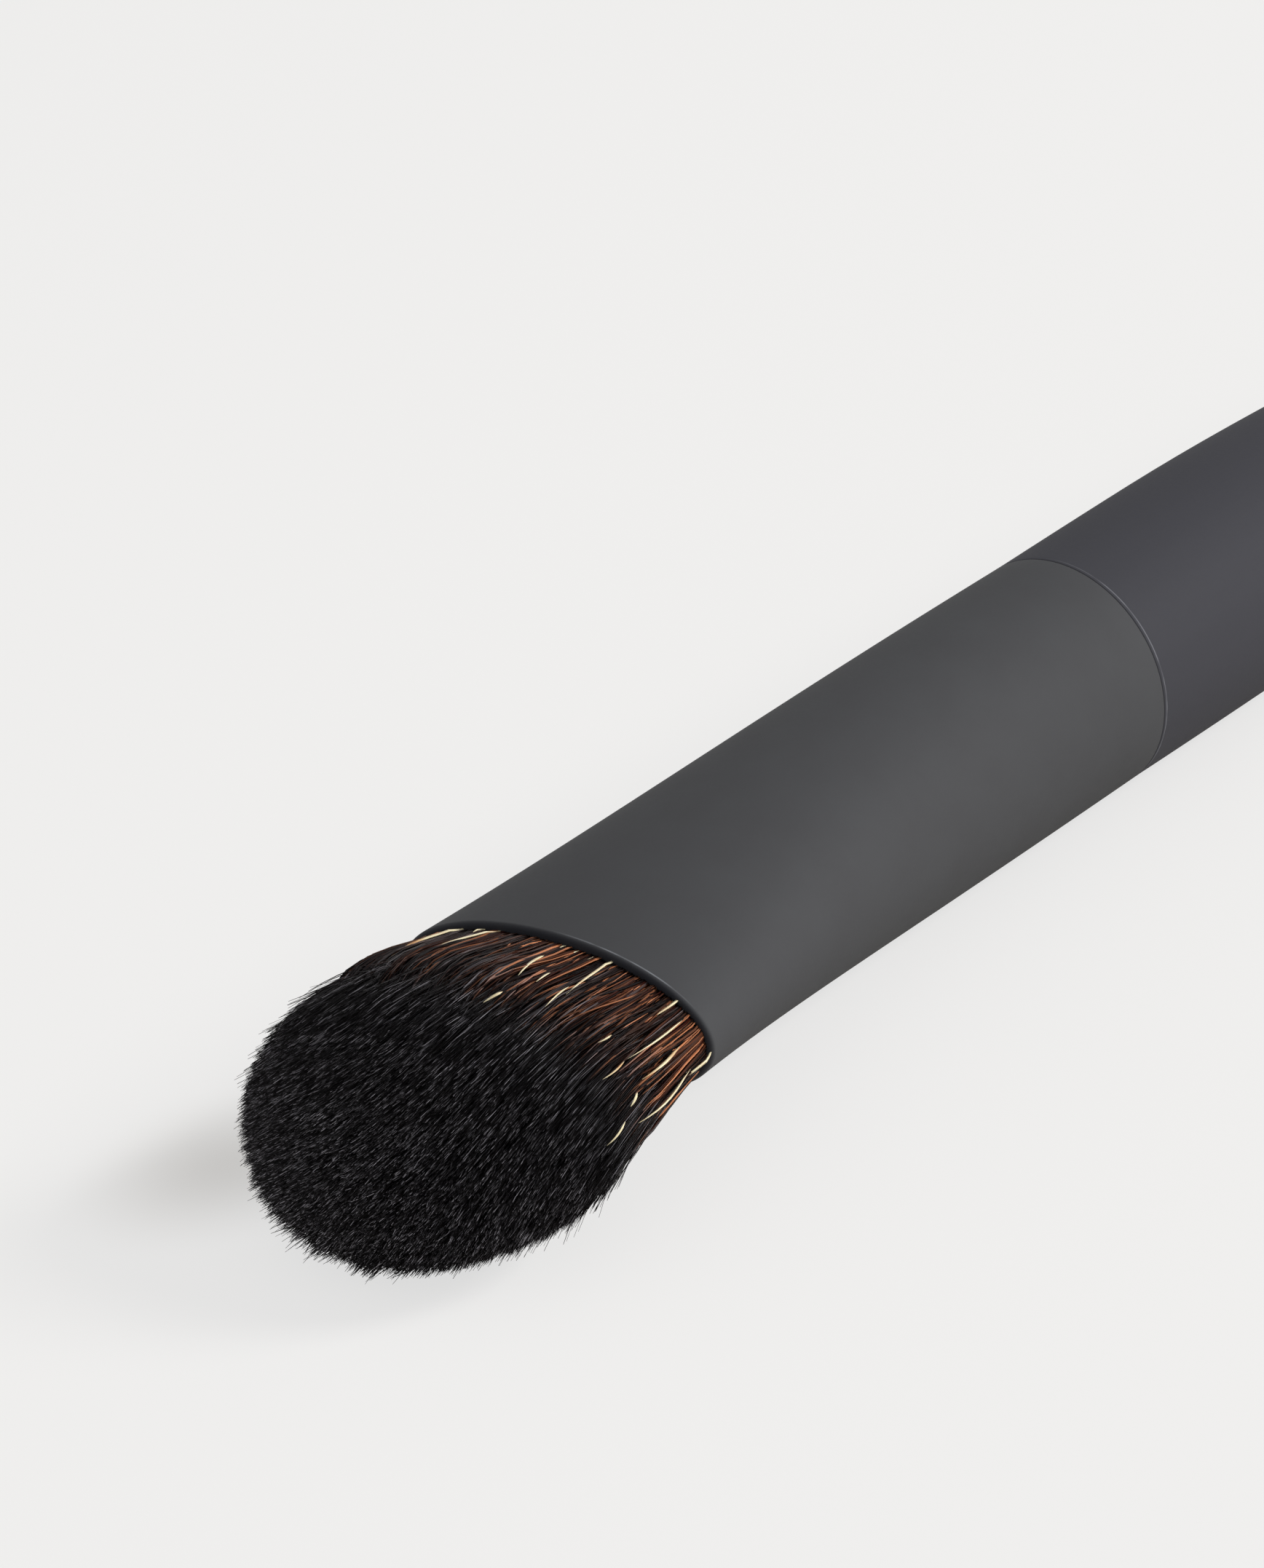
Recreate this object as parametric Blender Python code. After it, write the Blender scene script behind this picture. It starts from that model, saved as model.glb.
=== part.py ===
"""A flat concealer brush, lying on its side: hair tuft, oval ferrule and turned handle.

The brush is drawn along X. A station is a distance behind the mouth of the ferrule,
towards the butt of the handle, so the tuft stands at stations below zero.
"""

from math import cos, hypot, pi, radians, sin, sqrt
from random import Random

import bmesh
import bpy
from mathutils import Matrix, Vector

MM = 0.001
WELD_DISTANCE = 0.001 * MM

# Ferrule: a drawn metal tube, round at the handle and pressed oval at the mouth
FERRULE_LENGTH = 26.0 * MM
FERRULE_REAR_DIAMETER = 8.6 * MM
MOUTH_WIDTH = 13.4 * MM
MOUTH_THICKNESS = 5.3 * MM
FERRULE_WALL = 0.35 * MM
FLATTENING_POWER = 2.4

# Handle: turned wood with a tenon that is glued into the ferrule, clear of the root's plug
HANDLE_LENGTH = 108.0 * MM
PLUG_CLEARANCE = 3.75 * MM
TENON_CHAMFER = 0.5 * MM
SHOULDER_ROUND = 0.25 * MM
BELLY_DIAMETER = 8.8 * MM
BELLY_STATION = 13.0 * MM
TAIL_DIAMETER = 5.2 * MM
BUTT_ROUND = 1.4 * MM
TAPER_POWER = 3.0

# Fits: the room that glued pieces keep, and the glue itself
FIT_GAP = 0.25 * MM
JOINT_GAP = 0.3 * MM
GLUE_FILM = 0.3 * MM

# Root: packed hair behind the mouth, then a plug of resin with the binding thread
MOUTH_RECESS = 0.3 * MM
ROOT_DEPTH = 4.0 * MM
PLUG_LENGTH = 7.0 * MM
THREAD_THICKNESS = 0.4 * MM
THREAD_WIDTH = 2.4 * MM
THREAD_TURNS = 5
TURN_DEPTH_SHARE = 0.3

# Tuft outside the mouth, flaring to its full size and then rounding off to the tips
TUFT_REACH = 10.2 * MM
TUFT_WIDTH = 14.5 * MM
TUFT_THICKNESS = 7.8 * MM
TUFT_DROP = 2.8 * MM
FLARE_LENGTH = 5.0 * MM
SIDE_DOME_SHARE = 0.52
TOP_DOME_SHARE = 0.08
KNEE_SHARES = (0.16, 0.42)
EDGE_TIP_SHARE = 0.15

# Strands: each cell of the root grid is split into two three-sided strands
CELLS_ACROSS = 18
CELLS_DEEP = 9
CELL_JITTER_SHARE = 0.16
LENGTH_JITTER_SHARE = 0.04
STRAND_SHARE = 0.74
TIP_SHARE = 0.36
SEED = 7

# Facets: on each ring one lies flat underneath
FERRULE_SIDES = 48
HANDLE_SIDES = 32
ROUND_STEPS = 4
FERRULE_STATION_SHARES = (0.05, 0.11, 0.18, 0.26, 0.35, 0.45, 0.57, 0.7, 0.84)
SLEEVE_STATION_SHARES = (0.0, 0.2, 0.45, 0.7, 1.0)
BELLY_STATION_SHARES = (0.2, 0.45, 0.7)
TAPER_STATION_SHARES = (0.0, 0.06, 0.13, 0.2, 0.28, 0.37, 0.48, 0.62, 0.8, 1.0)

# Finishes: linear colour, roughness and metallic value
GREY_FERRULE = ("grey_soft_touch_metal", (0.067, 0.065, 0.067), 0.5, 0.0)
GREY_HANDLE = ("grey_soft_touch_wood", (0.078, 0.078, 0.089), 0.55, 0.0)
AMBER_RESIN = ("amber_resin", (0.45, 0.28, 0.08), 0.25, 0.0)
WHITE_GLUE = ("white_glue", (0.72, 0.7, 0.62), 0.45, 0.0)
COTTON = ("cotton_thread", (0.68, 0.64, 0.55), 0.9, 0.0)
BLACK_HAIR = ("black_hair", (0.012, 0.01, 0.011), 0.4, 0.0)


def ferrule_half_sizes(station, inset=0):
    """Outer half width and half thickness of the ferrule at a station, less an inset all round."""
    rear = FERRULE_REAR_DIAMETER / 2
    share = min(max(station / FERRULE_LENGTH, 0), 1)
    flatness = (1 - share) ** FLATTENING_POWER
    half_width = rear + (MOUTH_WIDTH / 2 - rear) * flatness
    half_thickness = rear + (MOUTH_THICKNESS / 2 - rear) * flatness
    return half_width - inset, half_thickness - inset


def bore_half_sizes(station, gap=0):
    """Inner half sizes of the ferrule at a station, less a gap all round."""
    return ferrule_half_sizes(station, FERRULE_WALL + gap)


PLUG_STATION = ROOT_DEPTH + FIT_GAP
TENON_TIP = PLUG_STATION + PLUG_LENGTH + PLUG_CLEARANCE
TENON_RADIUS = min(bore_half_sizes(TENON_TIP, FIT_GAP)) - GLUE_FILM - FIT_GAP
SHOULDER_STATION = FERRULE_LENGTH + JOINT_GAP
SHOULDER_RADIUS = FERRULE_REAR_DIAMETER / 2
GROOVE_WIDTH = THREAD_WIDTH + 2 * FIT_GAP
GROOVE_DEPTH = THREAD_THICKNESS + FIT_GAP
GROOVE_STATION = PLUG_STATION + (PLUG_LENGTH - GROOVE_WIDTH) / 2


def material(name, colour, roughness, metallic):
    """A Principled material for one piece."""
    made = bpy.data.materials.new(name)
    made.use_nodes = True
    shader = made.node_tree.nodes["Principled BSDF"]
    shader.inputs["Base Color"].default_value = (*colour, 1.0)
    shader.inputs["Roughness"].default_value = roughness
    shader.inputs["Metallic"].default_value = metallic
    return made


def new_object(name, bm, finish, axis):
    """Makes a named object with its finish from a bmesh and hangs it on the brush's axis."""
    bmesh.ops.recalc_face_normals(bm, faces=bm.faces)
    mesh = bpy.data.meshes.new(name)
    bm.to_mesh(mesh)
    bm.free()
    mesh.shade_smooth()
    mesh.set_sharp_from_angle(angle=radians(35))
    mesh.materials.append(material(*finish))
    obj = bpy.data.objects.new(name, mesh)
    bpy.context.scene.collection.objects.link(obj)
    obj.parent = axis
    return obj


def loft(name, sections, finish, axis, sides=FERRULE_SIDES, closed=False):
    """Draws an oval ring through sections, each (station, half width, half thickness).

    A closed loft is a tube whose last ring meets its first. An open one has flat ends.
    """
    bm = bmesh.new()
    turn = Matrix.Rotation(pi / 2, 4, "Y") @ Matrix.Rotation(pi / sides, 4, "Z")
    disc = bmesh.ops.create_circle(bm, segments=sides, radius=1, cap_ends=not closed, matrix=turn)["verts"]
    place_ring(disc, (0, 1, 1), sections[0])
    ring = bm.edges[:]
    route = sections + sections[:1] if closed else sections
    for before, after in zip(route, route[1:]):
        grown = bmesh.ops.extrude_edge_only(bm, edges=ring)["geom"]
        ring = [item for item in grown if isinstance(item, bmesh.types.BMEdge)]
        place_ring([item for item in grown if isinstance(item, bmesh.types.BMVert)], before, after)
    if closed:
        bmesh.ops.remove_doubles(bm, verts=bm.verts, dist=WELD_DISTANCE)
    else:
        bmesh.ops.edgeloop_fill(bm, edges=ring)
    return new_object(name, bm, finish, axis)


def place_ring(ring, before, after):
    """Moves and stretches a ring from one section to another."""
    for vert in ring:
        vert.co = (after[0], vert.co.y * after[1] / before[1], vert.co.z * after[2] / before[2])


def round_steps(radius, turn):
    """(along, inward) steps of an arc that starts level with the side and turns inwards."""
    angles = [turn * step / ROUND_STEPS for step in range(ROUND_STEPS + 1)]
    return [(radius * sin(angle), radius * (1 - cos(angle))) for angle in angles]


def make_ferrule(axis):
    """The pressed tube: outside to the rear, round the rear lip, bore, round the mouth's lip."""
    lip = FERRULE_WALL / 2
    stations = [share * FERRULE_LENGTH for share in FERRULE_STATION_SHARES]
    rear_lip = FERRULE_LENGTH - lip
    sections = [(station, *ferrule_half_sizes(station)) for station in stations]
    sections += [(rear_lip + out, *ferrule_half_sizes(rear_lip, inward)) for out, inward in round_steps(lip, pi)]
    sections += [(station, *bore_half_sizes(station)) for station in reversed(stations)]
    mouth_lip = [(lip - out, *ferrule_half_sizes(lip, inward)) for out, inward in round_steps(lip, pi)]
    sections += reversed(mouth_lip)
    return loft("ferrule", sections, GREY_FERRULE, axis, closed=True)


def handle_radius(behind):
    """Radius of the handle at a distance behind its shoulder: swells to the belly, then tapers."""
    belly, tail = BELLY_DIAMETER / 2, TAIL_DIAMETER / 2
    if behind < BELLY_STATION:
        rise = 1 - behind / BELLY_STATION
        return belly - (belly - SHOULDER_RADIUS) * rise * rise
    left = (HANDLE_LENGTH - behind) / (HANDLE_LENGTH - BELLY_STATION)
    return tail + (belly - tail) * left**TAPER_POWER


def make_handle(axis):
    """Tenon, rounded shoulder, belly, long taper and a rounded butt with a flat end."""
    profile = [
        (TENON_TIP, TENON_RADIUS - TENON_CHAMFER),
        (TENON_TIP + TENON_CHAMFER, TENON_RADIUS),
        (SHOULDER_STATION, TENON_RADIUS),
    ]
    for out, inward in reversed(round_steps(SHOULDER_ROUND, pi / 2)):
        profile.append((SHOULDER_STATION + SHOULDER_ROUND - out, SHOULDER_RADIUS - inward))
    body = [BELLY_STATION * share for share in BELLY_STATION_SHARES]
    taper = HANDLE_LENGTH - BUTT_ROUND - BELLY_STATION
    body += [BELLY_STATION + taper * share for share in TAPER_STATION_SHARES]
    profile += [(SHOULDER_STATION + behind, handle_radius(behind)) for behind in body]
    butt_station, butt_radius = profile[-1]
    for out, inward in round_steps(BUTT_ROUND, pi / 2)[1:]:
        profile.append((butt_station + out, butt_radius - inward))
    sections = [(station, radius, radius) for station, radius in profile]
    return loft("handle", sections, GREY_HANDLE, axis, sides=HANDLE_SIDES)


def make_joint_glue(axis):
    """The sleeve of glue between the tenon and the bore."""
    start, end = TENON_TIP + TENON_CHAMFER, FERRULE_LENGTH - FIT_GAP
    stations = [start + (end - start) * share for share in SLEEVE_STATION_SHARES]
    inside = TENON_RADIUS + FIT_GAP
    sections = [(station, *bore_half_sizes(station, FIT_GAP)) for station in stations]
    sections += [(station, inside, inside) for station in reversed(stations)]
    return loft("joint_glue", sections, WHITE_GLUE, axis, closed=True)


def make_root_resin(axis):
    """The plug of potted hair roots, with a groove that the binding thread lies in."""
    groove_end = GROOVE_STATION + GROOVE_WIDTH
    plug_end = PLUG_STATION + PLUG_LENGTH
    steps = [(PLUG_STATION, 0), (GROOVE_STATION, 0), (GROOVE_STATION, GROOVE_DEPTH)]
    steps += [(groove_end, GROOVE_DEPTH), (groove_end, 0), (plug_end, 0)]
    sections = [(station, *bore_half_sizes(station, FIT_GAP + depth)) for station, depth in steps]
    return loft("root_resin", sections, AMBER_RESIN, axis)


def make_binding_thread(axis):
    """The band of thread, its turns showing as ridges, in the groove of the resin."""
    start = GROOVE_STATION + FIT_GAP
    pitch = THREAD_WIDTH / THREAD_TURNS
    sections = []
    for half_turn in range(2 * THREAD_TURNS + 1):
        station = start + half_turn * pitch / 2
        valley = THREAD_THICKNESS * TURN_DEPTH_SHARE * (1 - half_turn % 2)
        sections.append((station, *bore_half_sizes(station, FIT_GAP + valley)))
    for station in (start + THREAD_WIDTH, start):
        sections.append((station, *bore_half_sizes(station, FIT_GAP + THREAD_THICKNESS)))
    return loft("binding_thread", sections, COTTON, axis, closed=True)


def dome(share, start_share):
    """Share of the tuft's full half size that is left at a share of its reach."""
    turn = (share - start_share) / (1 - start_share)
    return sqrt(max(1 - max(turn, 0) ** 2, 0))


def tuft_half_sizes(share):
    """Half width and half thickness of the tuft at a share of its reach."""
    mouth_width, mouth_thickness = bore_half_sizes(0, FIT_GAP)
    rise = min(share * TUFT_REACH / FLARE_LENGTH, 1)
    flare = rise * rise * (3 - 2 * rise)
    half_width = mouth_width + (TUFT_WIDTH / 2 - mouth_width) * flare
    half_thickness = mouth_thickness + (TUFT_THICKNESS / 2 - mouth_thickness) * flare
    return half_width * dome(share, SIDE_DOME_SHARE), half_thickness * dome(share, TOP_DOME_SHARE)


def tuft_point(share, across, up):
    """A point of the tuft at a share of its reach; the tuft sinks more and more to its tips."""
    half_width, half_thickness = tuft_half_sizes(share)
    return Vector((-share * TUFT_REACH, across * half_width, up * half_thickness - TUFT_DROP * share * share))


def root_half_sizes():
    """Half sizes of the root's front, from where straight strands clear the mouth."""
    mouth, knee = bore_half_sizes(0, FIT_GAP), tuft_half_sizes(KNEE_SHARES[0])
    slope = MOUTH_RECESS / (KNEE_SHARES[0] * TUFT_REACH)
    return [inner - (outer - inner) * slope for inner, outer in zip(mouth, knee)]


def strand_grid(bm):
    """A unit disc cut into small uneven triangles, one for each strand."""
    random = Random(SEED)
    grid = bmesh.ops.create_grid(bm, x_segments=CELLS_ACROSS, y_segments=CELLS_DEEP, size=1)["verts"]
    for vert in grid:
        across, up = vert.co.x, vert.co.y
        if not vert.is_boundary:
            across += CELL_JITTER_SHARE * random.uniform(-2, 2) / CELLS_ACROSS
            up += CELL_JITTER_SHARE * random.uniform(-2, 2) / CELLS_DEEP
        vert.co = (across * sqrt(1 - up * up / 2), up * sqrt(1 - across * across / 2), 0)
    bmesh.ops.triangulate(bm, faces=bm.faces, quad_method="SHORT_EDGE")


def grow_strands(bm):
    """Grows a strand from each triangle, with Z counting its rings: 0 and 1 are the root."""
    back = bm.faces[:]
    front = bmesh.ops.extrude_face_region(bm, geom=back, use_keep_orig=True)["geom"]
    faces = [item for item in front if isinstance(item, bmesh.types.BMFace)]
    bmesh.ops.translate(bm, verts=list({vert for face in faces for vert in face.verts}), vec=(0, 0, 1))
    bmesh.ops.dissolve_faces(bm, faces=back)
    bmesh.ops.inset_individual(bm, faces=faces, thickness=0)
    for face in faces:
        centre = face.calc_center_median()
        for vert in face.verts:
            vert.co = centre.lerp(vert.co, STRAND_SHARE)
    for _ in (*KNEE_SHARES, "tip"):
        faces = bmesh.ops.extrude_discrete_faces(bm, faces=faces)["faces"]
        for face in faces:
            bmesh.ops.translate(bm, verts=face.verts, vec=(0, 0, 1))
    return faces


def place_tip(face, random):
    """Moves the last ring of a strand to its place on the tuft's rounded front."""
    centre = face.calc_center_median()
    spread = hypot(centre.x, centre.y)
    knee_share = KNEE_SHARES[1]
    edge_share = knee_share + (1 - knee_share) * EDGE_TIP_SHARE
    tip_share = edge_share + (1 - edge_share) * sqrt(1 - spread * spread)
    tip = tuft_point(tip_share, centre.x / spread, centre.y / spread)
    knee = tuft_point(knee_share, centre.x, centre.y)
    tip = tip.lerp(knee, LENGTH_JITTER_SHARE * random.uniform(0, 2))
    for vert in face.verts:
        vert.co = tip + (tuft_point(knee_share, vert.co.x, vert.co.y) - knee) * TIP_SHARE


def make_tuft(axis):
    """The hair: three-sided strands on their packed root, spreading from the mouth."""
    bm = bmesh.new()
    strand_grid(bm)
    tips = grow_strands(bm)
    tip_verts = {vert for face in tips for vert in face.verts}
    random = Random(SEED)
    for face in tips:
        place_tip(face, random)
    root_rings = ((ROOT_DEPTH, *bore_half_sizes(ROOT_DEPTH, FIT_GAP)), (MOUTH_RECESS, *root_half_sizes()))
    for vert in bm.verts:
        ring = round(vert.co.z)
        if vert in tip_verts:
            continue
        if ring < len(root_rings):
            station, half_width, half_thickness = root_rings[ring]
            vert.co = (station, vert.co.x * half_width, vert.co.y * half_thickness)
        else:
            vert.co = tuft_point(KNEE_SHARES[ring - len(root_rings)], vert.co.x, vert.co.y)
    return new_object("hair_tuft", bm, BLACK_HAIR, axis)


def stand_on_origin(axis, pieces):
    """Puts the origin under the middle of the whole brush, at the height of its lowest point."""
    corners = [vert.co for piece in pieces for vert in piece.data.vertices]
    lowest = Vector(min(corner[side] for corner in corners) for side in range(3))
    highest = Vector(max(corner[side] for corner in corners) for side in range(3))
    middle = (lowest + highest) / 2
    axis.location = (-middle.x, -middle.y, -lowest.z)


def main():
    """Clears the scene and builds the brush."""
    for obj in list(bpy.data.objects):
        bpy.data.objects.remove(obj, do_unlink=True)
    axis = bpy.data.objects.new("brush_axis", None)
    bpy.context.scene.collection.objects.link(axis)
    makers = (make_ferrule, make_handle, make_joint_glue, make_root_resin, make_binding_thread, make_tuft)
    pieces = [make(axis) for make in makers]
    stand_on_origin(axis, pieces)


main()
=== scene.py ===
# %% [markdown]
# # A flat concealer brush
# A small make-up brush lies on a pale table with its hair towards us. It is a handful of pieces: a
# pressed metal tube (the ferrule), a turned wooden handle that is glued into it, and a tuft of fine hair
# that is tied and potted in resin inside the tube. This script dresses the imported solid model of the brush.
# The solids give every place and size, so the first step is to load them, and they are never moved.

from math import cos, pi, radians, sin, sqrt

import bmesh
import bpy
import numpy as np
from mathutils import Matrix, Vector


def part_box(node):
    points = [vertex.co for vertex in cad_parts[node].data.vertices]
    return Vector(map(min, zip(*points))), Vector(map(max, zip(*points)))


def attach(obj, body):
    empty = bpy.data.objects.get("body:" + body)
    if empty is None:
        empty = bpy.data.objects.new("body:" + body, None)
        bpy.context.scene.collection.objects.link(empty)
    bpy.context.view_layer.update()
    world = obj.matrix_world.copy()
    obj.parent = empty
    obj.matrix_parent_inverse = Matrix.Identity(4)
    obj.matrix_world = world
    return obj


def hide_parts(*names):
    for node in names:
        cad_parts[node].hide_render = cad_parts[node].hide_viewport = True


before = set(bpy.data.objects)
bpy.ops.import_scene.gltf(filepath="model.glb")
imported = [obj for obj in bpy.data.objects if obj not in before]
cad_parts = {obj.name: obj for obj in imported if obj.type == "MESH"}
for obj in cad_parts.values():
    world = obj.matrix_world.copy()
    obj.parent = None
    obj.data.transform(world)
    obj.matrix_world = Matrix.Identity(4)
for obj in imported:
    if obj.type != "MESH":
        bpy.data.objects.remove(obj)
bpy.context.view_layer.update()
MM = 0.001
print("solid pieces:", ", ".join(sorted(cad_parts)))

# %% [markdown]
# ## The brush's own axis
# The brush was drawn along one axis, and every piece is easiest to describe by its station on that axis:
# the distance behind the mouth of the tube. The mouth's middle is read from the ferrule's own box. The
# formulas for the tube are the ones that the solid was made with, so a finer surface lands exactly on it.

# %% The tube's shape
FERRULE_LENGTH = 26.0 * MM
FERRULE_REAR_DIAMETER = 8.6 * MM
MOUTH_WIDTH = 13.4 * MM
MOUTH_THICKNESS = 5.3 * MM
FERRULE_WALL = 0.35 * MM
FLATTENING_POWER = 2.4

ferrule_low, ferrule_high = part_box("ferrule")
mouth = Vector((ferrule_low.x, (ferrule_low.y + ferrule_high.y) / 2, (ferrule_low.z + ferrule_high.z) / 2))


def ferrule_half_sizes(station, inset=0.0):
    """Outer half width and half thickness of the tube at a station, less an inset all round."""
    rear = FERRULE_REAR_DIAMETER / 2
    flatness = (1 - min(max(station / FERRULE_LENGTH, 0), 1)) ** FLATTENING_POWER
    half_width = rear + (MOUTH_WIDTH / 2 - rear) * flatness
    half_thickness = rear + (MOUTH_THICKNESS / 2 - rear) * flatness
    return half_width - inset, half_thickness - inset


print(f"mouth at {mouth.x / MM:.2f}, {mouth.y / MM:.2f}, {mouth.z / MM:.2f} mm")

# %% [markdown]
# ## Lofting
# Tube, handle and packed hair are all lofts: a ring that is stretched from section to section. A spin can't
# turn an oval that changes its proportions, and a subdivided cage would drift off the solid, so one ring is
# made and its edges are extruded from section to section. The last ring is closed with a face or merged with
# the first.

# %% A loft
WELD_DISTANCE = 0.001 * MM
SHARP_ANGLE = radians(40)


def new_object(name, data):
    """An object at the origin that holds this mesh, lamp or camera."""
    made = bpy.data.objects.new(name, data)
    bpy.context.scene.collection.objects.link(made)
    return made


def finish_mesh(name, bm):
    """Turns a bmesh into a smooth mesh whose faces point outwards."""
    bmesh.ops.recalc_face_normals(bm, faces=bm.faces)
    mesh = bpy.data.meshes.new(name)
    bm.to_mesh(mesh)
    bm.free()
    mesh.shade_smooth()
    print(f"{name}: {sum(len(face.vertices) - 2 for face in mesh.polygons)} triangles")
    return mesh


def place_ring(ring, before, after):
    """Moves and stretches a ring from one section to another."""
    for vert in ring:
        side = (vert.co.y - mouth.y) * after[1] / before[1]
        rise = (vert.co.z - mouth.z + before[3]) * after[2] / before[2]
        vert.co = mouth + Vector((after[0], side, rise - after[3]))


def loft(name, sections, sides, closed=False):
    """Draws an oval ring through sections, each (station, half width, half thickness, drop)."""
    bm = bmesh.new()
    turn = Matrix.Rotation(pi / 2, 4, "Y") @ Matrix.Rotation(pi / sides, 4, "Z")
    place = Matrix.Translation(mouth) @ turn
    ring = bmesh.ops.create_circle(bm, segments=sides, radius=1, cap_ends=not closed, matrix=place)["verts"]
    place_ring(ring, (0, 1, 1, 0), sections[0])
    edges = bm.edges[:]
    route = sections + sections[:1] if closed else sections
    for before, after in zip(route, route[1:]):
        grown = bmesh.ops.extrude_edge_only(bm, edges=edges)["geom"]
        edges = [item for item in grown if isinstance(item, bmesh.types.BMEdge)]
        place_ring([item for item in grown if isinstance(item, bmesh.types.BMVert)], before, after)
    if closed:
        bmesh.ops.remove_doubles(bm, verts=bm.verts, dist=WELD_DISTANCE)
    else:
        bmesh.ops.edgeloop_fill(bm, edges=edges)
    mesh = finish_mesh(name, bm)
    mesh.set_sharp_from_angle(angle=SHARP_ANGLE)
    return new_object(name, mesh)


def round_steps(radius, steps=6):
    """(along, inward) steps of a quarter round that starts level with the side and turns inwards."""
    angles = [pi / 2 * step / steps for step in range(steps + 1)]
    return [(radius * sin(angle), radius * (1 - cos(angle))) for angle in angles]


# %% [markdown]
# ## The ferrule
# The ferrule is drawn from thin sheet metal, cut to length, and pressed flat at one end over a mandrel. Its
# cut edge is rolled over and lacquered, so the mouth shows a narrow end face with a rounded outer edge. The
# end face's darkness is painted shade, set in the lacquer's colour.
# The edges of a plain tube could be bevelled, but with the formulas at hand the wall, the end face and every
# small round are just sections of one closed loft. Each vertex also gets a number that rises towards the
# edge, for the finish to read.

# %% Ferrule
FERRULE_SIDES = 160
FERRULE_STEPS = 44
STEP_CROWDING = 1.6
LIP_ROUND = 0.16 * MM
BORE_ROUND = 0.06 * MM
REAR_ROUND = 0.03 * MM
LIP_ZONE = 0.3 * MM


def make_ferrule():
    """The pressed tube: outside, rear edge, bore, and the rounded lip of the mouth."""
    outer_run = FERRULE_LENGTH - LIP_ROUND - REAR_ROUND
    shares = [step / FERRULE_STEPS for step in range(FERRULE_STEPS + 1)]
    stations = [LIP_ROUND + outer_run * share**STEP_CROWDING for share in shares]
    sections = [(station, *ferrule_half_sizes(station), 0) for station in stations]
    for out, inward in round_steps(REAR_ROUND)[1:]:
        sections.append((FERRULE_LENGTH - REAR_ROUND + out, *ferrule_half_sizes(FERRULE_LENGTH, inward), 0))
    sections.append((FERRULE_LENGTH, *ferrule_half_sizes(FERRULE_LENGTH, FERRULE_WALL), 0))
    for share in shares[1:]:
        station = FERRULE_LENGTH - (FERRULE_LENGTH - BORE_ROUND) * share
        sections.append((station, *ferrule_half_sizes(station, FERRULE_WALL), 0))
    for out, inward in round_steps(BORE_ROUND)[1:]:
        sections.append((BORE_ROUND - out, *ferrule_half_sizes(0, FERRULE_WALL - inward), 0))
    for out, inward in reversed(round_steps(LIP_ROUND)[1:]):
        sections.append((LIP_ROUND - out, *ferrule_half_sizes(LIP_ROUND, inward), 0))
    return loft("ferrule_shell", sections, FERRULE_SIDES, closed=True)


def mark_edge(piece, start, end):
    """Gives every vertex a number that rises from 0 to 1 between two stations."""
    place = np.empty(len(piece.data.vertices) * 3)
    piece.data.vertices.foreach_get("co", place)
    rise = np.clip((place[::3] - mouth.x - start) / (end - start), 0, 1)
    piece.data.attributes.new("edge", "FLOAT", "POINT").data.foreach_set("value", rise.astype(np.float32))


ferrule = make_ferrule()
mark_edge(ferrule, LIP_ZONE, 0.0)
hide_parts("ferrule")
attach(ferrule, "root")

# %% [markdown]
# ## The handle
# The handle is turned from one rod: a tenon that is glued into the ferrule, a tiny rounded shoulder, a belly
# where the fingers rest, a long taper and a rounded end. On a real brush the shoulder is pushed hard against
# the ferrule, so the joint is only a hairline. The two small rounds that meet there make the dark line.
# In the solid the swell and the taper meet in a slight bend. A lathe tool rides over such a bend, so a cubic
# curve that keeps both slopes is laid over it here. A bevel would leave two slighter bends there.

# %% Handle
HANDLE_SIDES = 128
HANDLE_LENGTH = 108.0 * MM
SHOULDER_STATION = FERRULE_LENGTH + 0.3 * MM
JOINT_LINE = 0.006 * MM
SHOULDER_ROUND = 0.07 * MM
BELLY_DIAMETER = 8.8 * MM
BELLY_STATION = 13.0 * MM
BELLY_BLEND = 6.0 * MM
SLOPE_STEP = 0.1 * MM
TAIL_DIAMETER = 5.2 * MM
TAPER_POWER = 3.0
BUTT_ROUND = 1.4 * MM
BUTT_STEPS = 12
TENON_TIP = 15.0 * MM
TENON_CHAMFER = 0.5 * MM
TENON_GAP = 0.8 * MM
BODY_STEPS = 72


def turned_radius(behind):
    """Radius of the solid handle at a distance behind its shoulder: it swells to the belly, then tapers."""
    belly, tail = BELLY_DIAMETER / 2, TAIL_DIAMETER / 2
    if behind < BELLY_STATION:
        rise = 1 - max(behind, 0) / BELLY_STATION
        return belly - (belly - FERRULE_REAR_DIAMETER / 2) * rise * rise
    left = (HANDLE_LENGTH - behind) / (HANDLE_LENGTH - BELLY_STATION)
    return tail + (belly - tail) * left**TAPER_POWER


def handle_radius(behind):
    """The turned radius, with a smooth cubic curve laid over the bend at the belly."""
    front, rear, run = BELLY_STATION - BELLY_BLEND, BELLY_STATION + BELLY_BLEND, 2 * BELLY_BLEND
    if not front < behind < rear:
        return turned_radius(behind)
    start, end = turned_radius(front), turned_radius(rear)
    start_slope = (start - turned_radius(front - SLOPE_STEP)) / SLOPE_STEP
    end_slope = (turned_radius(rear + SLOPE_STEP) - end) / SLOPE_STEP
    t = (behind - front) / run
    slopes = (t**3 - 2 * t**2 + t) * start_slope + (t**3 - t**2) * end_slope
    return (2 * t**3 - 3 * t**2 + 1) * start + (3 * t**2 - 2 * t**3) * end + run * slopes


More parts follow.
